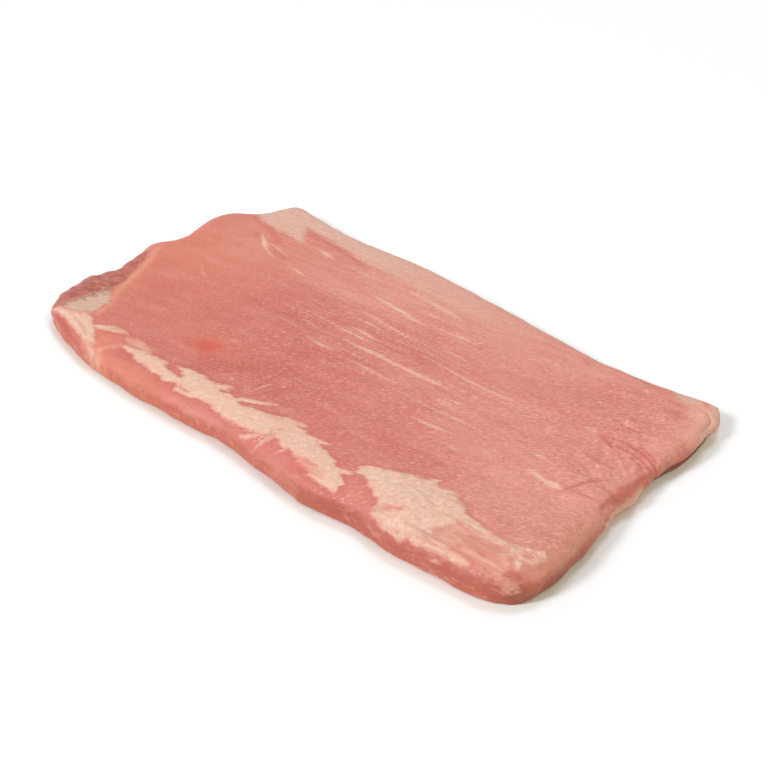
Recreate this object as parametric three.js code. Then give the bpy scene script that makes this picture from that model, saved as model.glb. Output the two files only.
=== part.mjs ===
import * as THREE from 'three';

// A raw flank steak lying flat. Millimetres: X runs along the muscle fibres, Y across them, Z up.
// The origin is under the middle of the piece, on the surface that it lies on.

const LENGTH = 333;
const WIDTH = 186;

// Height of the upper face near each corner and in the middle
const THICKNESS = { frontLeft: 12.5, frontRight: 17, backLeft: 10.5, backRight: 10.5, middle: 13.5 };

// The four edges seen from above, each from corner to corner, and the section of the rim along it.
// shoulder: how far the upper rounding reaches in; bluntness: 1 is a bevel, 2 is round;
// waist: share of the height where the rim stands out furthest; tuck: how far the foot is set in;
// undercut: 0 where the wall below the waist bulges, 1 where it is hollow.
const FRONT = {
  points: [[-155.5, -72.5], [-141, -85], [-107, -93.2], [-70, -95.4], [-33, -93.5], [-5, -90.7],
    [30, -92.3], [59, -93.8], [82, -90], [105, -91.1], [137, -86.4], [146.5, -84.9], [152.7, -82.2]],
  shoulder: 14, bluntness: 2, waist: 0.42, tuck: 3.5, undercut: 0,
};
const RIGHT = {
  points: [[152.7, -82.2], [158, -78.4], [163.2, -70.8], [165.2, -50], [161.4, -14], [162.2, 4],
    [160.8, 12.5], [166.7, 41], [164.7, 64], [158, 79.3]],
  shoulder: 10.5, bluntness: 2.2, waist: 0.42, tuck: 4, undercut: 0,
};
const BACK = {
  points: [[-140, 88.5], [-132, 90.6], [-116, 88], [-81, 84], [-30, 85.6], [29, 81], [94, 73.2],
    [125, 74.8], [158, 79.3]],
  shoulder: 8, bluntness: 2, waist: 0.5, tuck: 4, undercut: 0,
};
const LEFT = {
  points: [[-155.5, -72.5], [-163, -58.5], [-165.5, -42], [-161.1, -35], [-161.2, -21.5], [-162.5, -14.5],
    [-166.5, 0], [-159.6, 8], [-158.3, 18.3], [-163, 32.5], [-165.1, 46], [-161.3, 57],
    [-150.2, 66.4], [-147, 70.2], [-140, 88.5]],
  shoulder: 10, bluntness: 1.7, waist: 0.45, tuck: 3, undercut: 0,
};

// Rough bevel where the slab was cut across, at the front of the left end
const CUT = {
  x: -160, y: -40, reach: 34, shoulder: 19, bluntness: 1.15, waist: 0.28, tuck: 2, undercut: 0,
};
// Thin lip at the back of the right end, which stands out over a hollow wall
const LIP = {
  x: 164, y: 47, reach: 36, shoulder: 7, bluntness: 1.9, waist: 0.52, tuck: 5, undercut: 1,
};
const SECTION_SIZES = ['shoulder', 'bluntness', 'waist', 'tuck', 'undercut'];
const SECTION_SMOOTHING = 12;

// Swellings and hollows of the upper face: middle, half length, half width, turn in degrees, height
const SWELLINGS = [
  { x: -70, y: -74, length: 48, width: 8, turn: -4, height: 0.9 },
  { x: 0, y: -72, length: 50, width: 9, turn: 1, height: 0.9 },
  { x: 95, y: -68, length: 34, width: 14, turn: -14, height: 1.1 },
  { x: 158, y: 6, length: 15, width: 14, turn: 0, height: -2.4 },
  { x: 120, y: 28, length: 34, width: 10, turn: 12, height: 0.6 },
  { x: -104, y: -30, length: 34, width: 20, turn: 0, height: -0.5 },
];

// Low uneven swell of the muscle bundles, long with the fibres and short across them
const BUNDLES = { along: 80, across: 12, height: 0.5, seed: 3 };
// Crags on the cut end, out to their reach from its middle; they rise from the rim and end at the
// head of the bevel, at these shares of the shoulder
const CRAGS = {
  x: CUT.x, y: CUT.y, reach: 68, risen: 0.25, fading: 0.8, gone: 1.1,
  along: 7, across: 7, height: 2.4, seed: 7,
};
// Multipliers that scatter the lattice points of an uneven relief
const SCATTER = { i: 127.1, j: 311.7, seed: 74.7, spread: 43758.5453 };

// Mesh: rows that follow the rim, in millimetres from it, with even cells between them,
// then rings from the waist down to the foot and wider cells on the underside
const RIM_ROWS = [0.6, 1.8, 3.8, 6.8, 10.6];
const CELLS_ALONG = 80;
const CELLS_ACROSS = 44;
const FOOT_RINGS = [0.35, 0.7, 1];
const UNDERSIDE_STEP = 4;

const MEAT = { color: 0xd98f80, roughness: 0.55, metalness: 0 };

const mix = THREE.MathUtils.lerp;
const smooth = THREE.MathUtils.smoothstep;

for (const edge of [FRONT, RIGHT, BACK, LEFT]) {
  edge.curve = new THREE.SplineCurve(edge.points.map(([x, y]) => new THREE.Vector2(x, y)));
}

// Shares of a side at which the mesh lines cross it
function gridLines(cells, size) {
  const near = [0, ...RIM_ROWS].map((row) => row / size);
  const start = near[near.length - 1];
  const between = cells - 2 * RIM_ROWS.length;
  const middle = Array.from({ length: between - 1 }, (_, i) => mix(start, 1 - start, (i + 1) / between));
  return [...near, ...middle, ...near.map((share) => 1 - share).reverse()];
}

const linesAlong = gridLines(CELLS_ALONG, LENGTH);
const linesAcross = gridLines(CELLS_ACROSS, WIDTH);

// Place seen from above of a point given by its shares of the length and the width,
// blended from the four edges as they are drawn
function drawnPlan(u, v) {
  const front = FRONT.curve.getPointAt(u);
  const back = BACK.curve.getPointAt(u);
  const left = LEFT.curve.getPointAt(v);
  const right = RIGHT.curve.getPointAt(v);
  const frontChord = FRONT.curve.getPoint(0).lerp(FRONT.curve.getPoint(1), u);
  const backChord = BACK.curve.getPoint(0).lerp(BACK.curve.getPoint(1), u);
  return front.lerp(back, v).add(left.lerp(right, u)).sub(frontChord.lerp(backChord, v));
}

// Mesh lines of the points round the rim, anticlockwise from the front left corner, with the edge of each
function rimStations() {
  const along = [...linesAlong.keys()];
  const across = [...linesAcross.keys()];
  return [
    ...along.slice(0, -1).map((i) => ({ i, j: 0, edge: FRONT })),
    ...across.slice(0, -1).map((j) => ({ i: CELLS_ALONG, j, edge: RIGHT })),
    ...along.slice(1).reverse().map((i) => ({ i, j: CELLS_ACROSS, edge: BACK })),
    ...across.slice(1).reverse().map((j) => ({ i: 0, j, edge: LEFT })),
  ];
}

const rim = rimStations();
const drawnRim = rim.map(({ i, j }) => drawnPlan(linesAlong[i], linesAcross[j]));
const drawnBox = new THREE.Box2().setFromPoints(drawnRim);
const drawnMiddle = drawnBox.getCenter(new THREE.Vector2());
const toSize = new THREE.Vector2(LENGTH, WIDTH).divide(drawnBox.getSize(new THREE.Vector2()));

// The same place with the outline brought to the stated length and width, about the origin
function plan(u, v) {
  return drawnPlan(u, v).sub(drawnMiddle).multiply(toSize);
}

// 1 near the middle of a local form, falling to 0 at its reach
function nearness(place, local) {
  return 1 - smooth(Math.hypot(place.x - local.x, place.y - local.y), local.reach / 2, local.reach);
}

// Section of the rim at each of its points, with the cut end and the lip worked in and the steps eased
function rimSections() {
  const sections = rim.map(({ i, j, edge }) => {
    const section = { place: plan(linesAlong[i], linesAcross[j]) };
    for (const size of SECTION_SIZES) {
      const withCut = mix(edge[size], CUT[size], nearness(section.place, CUT));
      section[size] = mix(withCut, LIP[size], nearness(section.place, LIP));
    }
    return section;
  });
  for (let pass = 0; pass < SECTION_SMOOTHING; pass += 1) {
    const before = sections.map((section) => ({ ...section }));
    sections.forEach((section, n) => {
      const previous = before.at(n - 1);
      const next = before[(n + 1) % before.length];
      for (const size of SECTION_SIZES) {
        section[size] = (previous[size] + 2 * before[n][size] + next[size]) / 4;
      }
    });
  }
  return sections;
}

const sections = rimSections();

// Section of the rim nearest to a place, and how far away the rim is
function nearestRim(place) {
  const best = { distance: Infinity };
  sections.forEach((section, n) => {
    const next = sections[(n + 1) % sections.length];
    const side = next.place.clone().sub(section.place);
    const along = place.clone().sub(section.place).dot(side) / side.lengthSq();
    const share = THREE.MathUtils.clamp(along, 0, 1);
    const distance = place.distanceTo(section.place.clone().addScaledVector(side, share));
    if (distance < best.distance) {
      Object.assign(best, { distance, section, next, share });
    }
  });
  const size = (name) => mix(best.section[name], best.next[name], best.share);
  return {
    distance: best.distance,
    shoulder: size('shoulder'),
    bluntness: size('bluntness'),
    waist: size('waist'),
  };
}

// Repeatable scatter from 0 to 1 on a square lattice
function latticeValue(i, j, seed) {
  const mixed = Math.sin(i * SCATTER.i + j * SCATTER.j + seed * SCATTER.seed) * SCATTER.spread;
  return mixed - Math.floor(mixed);
}

// Height of an uneven relief at a place, about zero and smooth between its lattice points
function unevenness(place, relief) {
  const x = place.x / relief.along;
  const y = place.y / relief.across;
  const i = Math.floor(x);
  const j = Math.floor(y);
  const value = (di, dj) => latticeValue(i + di, j + dj, relief.seed);
  const across = smooth(x - i, 0, 1);
  const up = smooth(y - j, 0, 1);
  const share = mix(mix(value(0, 0), value(1, 0), across), mix(value(0, 1), value(1, 1), across), up);
  return relief.height * (share - 0.5);
}

// Height of a swelling at a place
function swellingHeight(swelling, place) {
  const away = new THREE.Vector2(place.x - swelling.x, place.y - swelling.y);
  away.rotateAround(new THREE.Vector2(), -THREE.MathUtils.degToRad(swelling.turn));
  return swelling.height * Math.exp(-((away.x / swelling.length) ** 2) - (away.y / swelling.width) ** 2);
}

// Full height of the slab at a place, before the rim rounds it off
function slabHeight(place) {
  const u = place.x / LENGTH + 0.5;
  const v = place.y / WIDTH + 0.5;
  const front = mix(THICKNESS.frontLeft, THICKNESS.frontRight, u);
  const back = mix(THICKNESS.backLeft, THICKNESS.backRight, u);
  const cornerMean = (mix(THICKNESS.frontLeft, THICKNESS.frontRight, 0.5)
    + mix(THICKNESS.backLeft, THICKNESS.backRight, 0.5)) / 2;
  const crown = (THICKNESS.middle - cornerMean) * (1 - (2 * u - 1) ** 2) * (1 - (2 * v - 1) ** 2);
  const swellings = SWELLINGS.reduce((sum, swelling) => sum + swellingHeight(swelling, place), 0);
  return mix(front, back, v) + crown + swellings + unevenness(place, BUNDLES);
}

// Quarter round from 0 at the edge to 1 at full depth, flatter or fuller by its bluntness
function quarterRound(depth, bluntness) {
  return (1 - (1 - Math.min(depth, 1)) ** bluntness) ** (1 / bluntness);
}

// Height of the upper face: full inside the shoulder, down to the waist at the rim, craggy on the cut
function upperHeight(place) {
  const { distance, shoulder, bluntness, waist } = nearestRim(place);
  const depth = distance / shoulder;
  const onBevel = smooth(depth, 0, CRAGS.risen) * (1 - smooth(depth, CRAGS.fading, CRAGS.gone));
  const crags = nearness(place, CRAGS) * onBevel * unevenness(place, CRAGS);
  return slabHeight(place) * mix(waist, 1, quarterRound(depth, bluntness)) + crags;
}

const positions = [];
const triangles = [];

function addPoint({ x, y }, z) {
  positions.push(x, y, z);
  return positions.length / 3 - 1;
}

// Fills a loop of points that runs anticlockwise as seen from the side it faces
function addLoop(loop) {
  for (let n = 1; n + 1 < loop.length; n += 1) {
    triangles.push(loop[0], loop[n], loop[n + 1]);
  }
}

// Upper face, out to the rim
const upper = linesAlong.map((u) => linesAcross.map((v) => {
  const place = plan(u, v);
  return addPoint(place, upperHeight(place));
}));
for (let i = 0; i < CELLS_ALONG; i += 1) {
  for (let j = 0; j < CELLS_ACROSS; j += 1) {
    addLoop([upper[i][j], upper[i + 1][j], upper[i + 1][j + 1], upper[i][j + 1]]);
  }
}

// Wall from the rim down and in to the foot, as rings that each lie a share of the way down
const rimPoints = rim.map(({ i, j }) => upper[i][j]);
const rimHeights = rimPoints.map((point) => positions[3 * point + 2]);
const insetShare = (share, inset, size) => mix(inset / size, 1 - inset / size, share);

function wallRing(down) {
  const bulging = 1 - Math.sqrt(1 - down ** 2);
  const hollow = Math.sqrt(1 - (1 - down) ** 2);
  return rim.map(({ i, j }, n) => {
    const inset = sections[n].tuck * mix(bulging, hollow, sections[n].undercut);
    const place = plan(insetShare(linesAlong[i], inset, LENGTH), insetShare(linesAcross[j], inset, WIDTH));
    return addPoint(place, rimHeights[n] * (1 - down));
  });
}

const foot = FOOT_RINGS.map(wallRing).reduce((above, below) => {
  above.forEach((point, n) => {
    const next = (n + 1) % above.length;
    addLoop([point, below[n], below[next], above[next]]);
  });
  return below;
}, rimPoints);

// Flat underside inside the foot
const pointKey = (i, j) => `${i} ${j}`;
const footAt = new Map(rim.map(({ i, j }, n) => [pointKey(i, j), foot[n]]));
const undersideAt = new Map(footAt);

function undersidePoint(i, j) {
  const key = pointKey(i, j);
  if (!undersideAt.has(key)) {
    undersideAt.set(key, addPoint(plan(linesAlong[i], linesAcross[j]), 0));
  }
  return undersideAt.get(key);
}

// Points of one side of an underside cell: its start, and every mesh line that it crosses on the foot
function cellSide(i, j, stepAlong, stepAcross) {
  const side = [];
  for (let n = 0; n < UNDERSIDE_STEP; n += 1) {
    const onFoot = footAt.has(pointKey(i + n * stepAlong, j + n * stepAcross));
    if (n === 0 || onFoot) {
      side.push(undersidePoint(i + n * stepAlong, j + n * stepAcross));
    }
  }
  return side;
}

for (let i = 0; i < CELLS_ALONG; i += UNDERSIDE_STEP) {
  for (let j = 0; j < CELLS_ACROSS; j += UNDERSIDE_STEP) {
    const iNext = i + UNDERSIDE_STEP;
    const jNext = j + UNDERSIDE_STEP;
    addLoop([
      ...cellSide(i, j, 0, 1),
      ...cellSide(i, jNext, 1, 0),
      ...cellSide(iNext, jNext, 0, -1),
      ...cellSide(iNext, j, -1, 0),
    ]);
  }
}

const geometry = new THREE.BufferGeometry();
geometry.setAttribute('position', new THREE.Float32BufferAttribute(positions, 3));
geometry.setIndex(triangles);
geometry.computeVertexNormals();

const steak = new THREE.Mesh(geometry, new THREE.MeshStandardMaterial(MEAT));
steak.name = 'steak';

const part = new THREE.Group();
part.add(steak);

export default part;
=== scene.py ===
import functools
import itertools
import math

import bmesh
import bpy
import numpy as np
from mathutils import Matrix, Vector


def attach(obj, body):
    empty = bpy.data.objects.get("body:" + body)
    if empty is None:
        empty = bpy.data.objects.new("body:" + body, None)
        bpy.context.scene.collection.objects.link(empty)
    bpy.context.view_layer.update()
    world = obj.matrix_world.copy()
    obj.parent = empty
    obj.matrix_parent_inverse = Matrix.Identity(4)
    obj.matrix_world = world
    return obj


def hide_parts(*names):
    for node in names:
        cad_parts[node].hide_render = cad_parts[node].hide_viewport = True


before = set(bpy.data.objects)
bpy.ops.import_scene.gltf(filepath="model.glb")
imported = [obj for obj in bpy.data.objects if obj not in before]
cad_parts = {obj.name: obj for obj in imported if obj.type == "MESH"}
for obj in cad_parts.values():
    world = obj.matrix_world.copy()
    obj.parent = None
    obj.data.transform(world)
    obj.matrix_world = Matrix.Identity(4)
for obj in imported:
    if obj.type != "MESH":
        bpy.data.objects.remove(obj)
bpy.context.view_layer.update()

# A raw flank steak on a pale floor. Places are in millimetres in the frame of the CAD solid

MM = 0.001

# Camera: angles in degrees, distances in metres, lens and sensor in millimetres
AZIMUTH = 42.6
ELEVATION = 35.5
DISTANCE = 0.5442
TARGET = (0.02198, -0.00207, 0.0)
LENS = 51.98
SENSOR = 36.0
CLIP_START = 0.01

# Light: lamps with their azimuth and elevation in degrees, size in metres, power in watts and tint
WORLD_TINT = (1.0, 0.985, 0.76)
WORLD_STRENGTH = 0.46
LAMP_DISTANCE = 10.0
LAMPS = [
    ("left", 336, 37, 2.3, 585, (0.935, 0.935, 1.05)),
    ("right", 100, 50, 3.0, 150, (1.0, 0.98, 0.76)),
    ("back", 200, 64, 3.0, 250, (0.85, 0.9, 1.24)),
]

# Floor: size in metres
FLOOR_SIZE = 40
FLOOR_ROUGHNESS = 0.9
FLOOR_SPECULAR = 0.1

# Forms as strokes seen from above: chains of (x, y, half width)

# How far from its middle a stroke still counts as a line
LINE_REACH = 3.0
# Cream fat: rim band at the left, the long patch along the front, and the broad patch at the right
FAT = [
    [(-142, -79.2, 0.9), (-130, -79.2, 1.9), (-122, -79.4, 3.5), (-115, -80.3, 4.4), (-108, -82.4, 3.6),
     (-102, -85.2, 2.5), (-97, -88.4, 1.6), (-92, -91.0, 0.8)],
    [(-121, -75.0, 1.4), (-117, -75.2, 1.4), (-112.6, -77.0, 1.0)],
    [(-109, -79.0, 0.6), (-104, -76.2, 1.5), (-98, -73.9, 2.1), (-92, -72.5, 1.5), (-87, -71.8, 0.2)],
    [(-80, -79.9, 0.5), (-73, -79.6, 1.8), (-66, -79.4, 3.4), (-60, -79.2, 4.2), (-54, -79.4, 3.8),
     (-48, -80.6, 2.7), (-42, -81.4, 2.2), (-37.5, -78, 4.4), (-33, -76.4, 6.0), (-25, -76.6, 6.1),
     (-10, -77, 5.7), (-1, -78.2, 5.0), (5, -77.6, 5.2), (12, -76.8, 5.6), (20, -75, 6.3), (30, -73.8, 6.2),
     (40, -75.2, 6.1), (50, -77.6, 6.3), (58, -79.8, 6.0), (66, -82.2, 4.2), (69, -83.6, 2.4)],
    [(-36, -73, 3.0), (-42, -73.4, 1.8), (-46.5, -74, 0.4)],
    [(-20, -71, 2.0), (-16.5, -69, 1.4), (-13.4, -66.4, 0.3)],
    [(-3, -71, 2.0), (4, -67.8, 0.8), (12, -63.3, 0.2)],
    [(24, -68.5, 2.5), (29, -66.6, 1.2), (33, -64.8, 0.2)],
    [(40, -70.5, 2.0), (45, -68.6, 0.8), (50.5, -66.9, 0.1)],
    [(-34, -84.4, 0.3), (-28, -84, 0.5), (-24, -82.6, 0.9)],
    [(62, -77.8, 1.2), (68, -76.4, 0.6), (73.5, -75.5, 0.1)],
    [(70.5, -69.6, 0.6), (75, -69.8, 3.4), (80, -70, 5.6), (85, -69.6, 7.6), (90, -69.2, 9.8),
     (95, -69.6, 11.6), (100, -69.8, 13.6), (104, -70.4, 13.6), (108, -69.8, 12.8), (112, -68.2, 10.4),
     (115.5, -66.4, 7.6)],
    [(93, -83.6, 2.0), (100, -84.0, 2.8), (108, -81.8, 4.4)],
    [(112, -62, 5.5), (121, -64.4, 2.9), (128, -65.6, 2.8), (135, -66.3, 2.4), (140, -66.2, 1.6),
     (145, -65.8, 1.0)],
    [(144.6, -65.2, 0.4), (148, -65.2, 1.3), (151, -66, 0.8), (153, -67.2, 0.3)],
    [(156, -60.2, 0.4), (157.6, -59.2, 1.2), (158.6, -58.4, 0.4)],
    [(157.4, -66.4, 0.4), (158.2, -64.6, 1.1), (158.8, -62.8, 0.3)],
    [(104, -79.6, 6.8), (110, -81, 4.6), (116, -82.4, 3.8), (122, -82.6, 2.4), (128, -82.2, 1.5),
     (134, -81.7, 1.0), (138, -81.5, 0.2)],
    [(90, -61, 2.0), (91.5, -58.4, 0.8)],
    [(98.5, -58, 2.6), (99.8, -54.6, 0.8)],
    [(107, -58, 2.6), (109.4, -55.2, 0.8)],
]
# Thin fat that fades into the lean: arms and lower end of the rim band, start of the long patch, the right
# end of the broad patch with its tail and flecks, and a place near the back
THIN_FAT = [
    [(-102, -86.4, 3.0), (-95, -89.6, 2.4), (-87, -92.2, 1.2)],
    [(-91.4, -89.4, 0.6), (-89.4, -86.6, 0.7), (-86.4, -83.4, 0.7), (-81, -80.2, 0.8)],
    [(-85, -74.4, 1.0), (-78, -74.2, 2.4), (-71, -74.4, 2.4), (-66, -76.0, 1.6)],
    [(112, -68, 8.0), (119, -69.6, 5.4), (125, -70.6, 2.2), (129, -71.4, 0.4)],
    [(124, -66.6, 2.6), (132, -67.4, 2.2), (140, -66.8, 2.0)],
    [(110, -78, 6.4), (117, -79, 4.6), (123, -79, 2.8), (129, -78.4, 1.4)],
    [(111, -83.8, 1.2), (118, -83.6, 1.6), (125, -82.8, 1.6), (131, -82, 1.2), (137, -81.4, 0.6)],
    [(117, -75.4, 0.6), (124, -75.2, 0.9), (130, -75.6, 0.4)],
    [(129.5, -78.8, 0.3), (133, -77.8, 0.9), (138, -77.0, 1.1), (143, -76.6, 0.9), (147, -76.4, 0.2)],
    [(145.5, -70.8, 0.3), (148, -71.4, 1.0), (150.4, -72.6, 1.0), (152, -74, 0.2)],
    [(-12, 58, 1.0), (4, 57, 2.0), (16, 55.6, 1.6), (24, 54, 0.6)],
]
# Mottled end of the broad patch's tail
TAIL = [
    [(138, -66.2, 1.6), (144, -65.8, 2.4), (148, -65.2, 3.0), (151, -65.2, 3.0), (154.6, -63.8, 3.8),
     (157.4, -60.8, 2.4)],
    [(151.6, -67.4, 2.0), (153.4, -69.4, 1.2), (154.4, -71.4, 0.4)],
]
# Lean that cuts into the fat
GAPS = [
    [(-50, -76, 1.2), (-44, -77, 2.0), (-39.5, -77.2, 1.6)],
    [(-19, -72.0, 0.2), (-14, -72.0, 0.7), (-11.4, -70, 1.0)],
    [(-0.2, -72.8, 1.2), (4, -72, 0.8), (10, -69.6, 0.4)],
    [(92, -81.0, 0.1), (97, -80.2, 0.2), (101, -78.0, 0.1)],
    [(26, -80.6, 0.1), (24, -77.4, 0.3), (28, -74.6, 0.1)],
]
# Lean veined with fat, right of the broad patch
VEINED = [
    [(114, -74, 8.0), (128, -74.8, 7.6), (140, -75, 6.0), (148, -74, 4.6), (153, -71.6, 3.0)],
]
# Greyish fat at the left corner
GREY_FAT = [
    [(-135.4, -51.0, 2.0), (-132.4, -55.5, 4.6), (-129.6, -61.5, 7.8), (-128.6, -68, 9.0),
     (-129, -71.5, 8.4)],
    [(-124, -73.6, 4.4), (-138, -75.4, 3.0)],
]
# Warm rim between the lean and the left corner's fat and cut
WARM_RIM = [
    [(-153, -2, 1.6), (-146, -13, 2.2), (-139.5, -25, 2.4), (-134.5, -36, 2.4), (-129.5, -47, 2.0),
     (-123.5, -55.5, 1.6), (-118.8, -62, 1.6), (-116.8, -70, 1.4)],
    [(-104, -82, 0.6), (-97, -85.6, 0.8), (-91, -88.6, 1.0), (-86, -90.4, 0.9), (-81, -92, 0.5)],
]
# Red lens of lean under the rim band
RED_LENS = [
    [(-139, -81.5, 0.5), (-131, -83.2, 1.5), (-123, -85.8, 1.6), (-115, -88.4, 1.1), (-105, -89.8, 0.4)],
]
# Thin membrane along the back, fading out between two places along X
MEMBRANE = [
    [(-140, 77, 13.0), (-127, 73.5, 13.5), (-117, 69, 9.5), (-107, 63.5, 4.5), (-99, 58.5, 1.0)],
    [(-121, 82, 9.0), (-100, 80, 7.0), (-84, 78.6, 8.0), (-66, 76, 9.0), (-50, 75, 10.0), (-30, 75, 10.0),
     (0, 73, 11.0), (20, 71, 11.0), (40, 70, 12.0), (60, 71, 9.0), (80, 73, 4.0), (90, 74, 1.0)],
]
MEMBRANE_FADE = (-110, 110)
# Pale patch, cream rim and soft pale surround on the right corner
CORNER_PATCH = [[(137, 76.4, 1.0), (141, 74.4, 2.8), (145.6, 73.4, 3.8), (149, 74.4, 2.0)]]
CORNER_RIM = [[(152, 79.4, 0.8), (157.6, 76, 1.6), (161.4, 68, 1.8), (163.8, 59, 1.3), (165, 51, 0.4)]]
CORNER_GLOW = [[(140, 78, 5), (150, 74, 9), (158, 68, 7.5), (162, 56, 5), (164, 46, 2)]]
# Dark dried strip on the cut end
CUT = [
    [(-156, -8, 1.4), (-153, -20, 7.0), (-151, -32, 11.0), (-148, -44, 14.0), (-150, -58, 12.5),
     (-150, -70, 10.5), (-147, -76, 6.0)],
]
# Thin pale streaks of connective tissue, and threads at the edges of the fat
STREAKS = [
    [(-30, 41.2, 0.4), (-22, 40.6, 0.8), (-12, 39.6, 1.0), (-4, 38.8, 1.1), (5, 37.6, 0.9), (14, 37.4, 0.4)],
    [(15, 38.8, 0.3), (28, 39.8, 0.5), (36, 40.4, 0.8), (44, 40.6, 0.5)],
    [(-47, 6.0, 0.3), (-34, 6.0, 0.6), (-20, 5.8, 0.6), (-8, 5.7, 0.6), (0, 5.4, 0.8), (9, 4.8, 0.4)],
    [(-8, -1.5, 0.5), (2, -1.0, 0.9), (10, -0.6, 1.0), (25, -0.2, 0.9), (40, 0.4, 1.0), (52, 1.1, 0.9),
     (61, 1.7, 0.4)],
    [(-40, -1.1, 0.3), (-32, -1.3, 0.7), (-25, -1.5, 0.4)],
    [(-22, -12.2, 0.4), (-12, -13.0, 0.9), (-3, -12.4, 0.5)],
    [(9, -12.4, 0.4), (20, -12.9, 0.8), (30, -12.8, 0.6), (39, -12.6, 0.3)],
    [(54, -16.6, 0.4), (66, -15.9, 0.7), (80, -14.6, 0.8), (92, -14.0, 0.4)],
    [(62, -27.2, 0.4), (70, -26.6, 0.9), (77, -25.4, 1.0), (84, -24.2, 0.5)],
    [(30, 15.4, 0.4), (45, 14.5, 0.6), (60, 13.1, 0.8), (75, 13.2, 0.7), (83, 13.6, 0.8), (90, 14.9, 0.4)],
    [(-19, 25.0, 0.4), (-5, 24.4, 0.7), (9, 22.8, 0.6), (25, 23.0, 0.4), (40, 22.2, 0.3)],
    [(-18, 18.3, 0.3), (-6, 18.3, 0.7), (2, 18.2, 0.4)],
    [(-13, 9.6, 0.4), (-6, 10.5, 1.0), (1, 10.2, 0.9), (6, 9.2, 0.4)],
    [(-2, 56.6, 0.5), (8, 56.0, 1.2), (16, 55.2, 1.0), (23, 53.8, 0.4)],
    [(-2, 46.8, 0.3), (9, 46.6, 0.6), (21, 46.0, 0.3)],
    [(-46, 28.2, 0.3), (-37, 27.6, 0.6), (-28, 27.0, 0.3)],
    [(-85, 58.6, 0.4), (-77, 57.2, 1.2), (-69, 55.2, 0.5)],
    [(-121, 48.6, 0.5), (-114, 43.6, 1.3), (-107, 38.4, 1.0), (-96, 34.0, 0.5)],
    [(-108, 44.0, 0.4), (-100, 42.2, 0.8), (-92, 40.0, 0.4)],
    [(-80, 33.0, 0.4), (-72, 31.4, 0.8), (-66, 30.6, 0.3)],
    [(60, -9.6, 0.4), (66, -9.4, 0.8), (72, -9.6, 0.4)],
    [(66, -5.2, 0.5), (71, -4.6, 0.8)],
    [(116, -10.4, 0.4), (121, -10.8, 1.0), (127, -11.6, 0.4)],
    [(119, -21.2, 0.4), (128, -22.2, 1.0), (138, -22.6, 1.4), (141, -22.4, 0.5)],
    [(123, 20.8, 0.4), (128, 20.6, 0.8), (130, 20.4, 0.3)],
    [(83, -31.8, 0.3), (91, -32.2, 0.7)],
    [(-115, -2, 0.3), (-110, -5, 0.7), (-104, -8, 0.3)],
    [(-7, -70, 0.4), (-5.4, -62, 0.5), (-4.6, -57, 0.8), (-3.4, -53.5, 0.3)],
    [(-19, -68, 0.3), (-19.6, -62, 0.4)],
    [(12.6, -86.4, 0.5), (16, -85.4, 1.0), (20, -82.6, 1.0), (23.6, -79, 1.2)],
    [(23.8, -87, 0.5), (25.0, -84, 1.0), (26.4, -80.4, 1.2)],
    [(4, -83.8, 0.4), (9, -82.4, 0.8), (14, -80, 1.2)],
    [(34.6, -85, 0.4), (36.4, -83, 0.8), (37.6, -80.6, 1.0)],
]
# Darker lean: bands below the membrane and along the back, and marks at the right end, partly painted shade
SHADES = [
    [(-146, 63.5, 1.5), (-138, 61.5, 2.2), (-130, 60.0, 2.2), (-120, 55.2, 1.7), (-112, 51.0, 1.2),
     (-100, 48.0, 0.4)],
    [(-105, 69.2, 1.0), (-96, 68.0, 1.7), (-85, 68.6, 1.4), (-70, 66.6, 1.7), (-57, 63.4, 1.7),
     (-49, 61.6, 0.6)],
    [(-110, 41.6, 0.5), (-102, 39.5, 1.3), (-96, 38.0, 1.2), (-89, 36.8, 0.4)],
    [(-126, 47.8, 0.4), (-121, 46.0, 1.0)],
    [(131, 20.4, 0.4), (134, 20.6, 1.2), (138, 18.2, 0.5)],
    [(135, 5.6, 0.4), (139, 4.6, 1.3), (144, 6.8, 1.0)],
    [(138, 66.0, 0.2), (144, 65.4, 0.9), (149, 66.0, 0.4)],
    [(94, 71.0, 0.3), (112, 71.6, 0.6), (128, 70.4, 0.8), (136, 68.6, 0.4)],
    [(91, 67.2, 0.4), (95, 64.8, 1.0)],
]
# Red spot on the lean, and the red lines on the fat
BLOOD = [[(-56, -54, 2.0), (-50, -51, 4.5), (-47, -48, 2.0)]]
FAT_BLOOD = [
    [(43, -82.4, 0.3), (48, -81.8, 0.9), (53, -81, 0.8), (57, -81, 0.3)],
    [(46, -84.8, 0.3), (50, -84.4, 0.8), (54, -84.6, 0.3)],
    [(94, -80.7, 0.2), (97, -79.6, 0.7), (101.5, -77.4, 0.4)],
]
# Pale fleck below the red fold of the lower right corner, down to this height
CORNER_FLECK = [[(151.4, -79, 0.6), (154.0, -78, 1.4), (156.2, -76.6, 1.1), (158.2, -75, 0.3)]]
CORNER_FLECK_FOOT = 6.5
# Red mark on the right corner
CORNER_MARK = [[(149.4, 79, 0.6), (151.6, 76.4, 1.1), (154.2, 73.8, 0.4)]]
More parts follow.
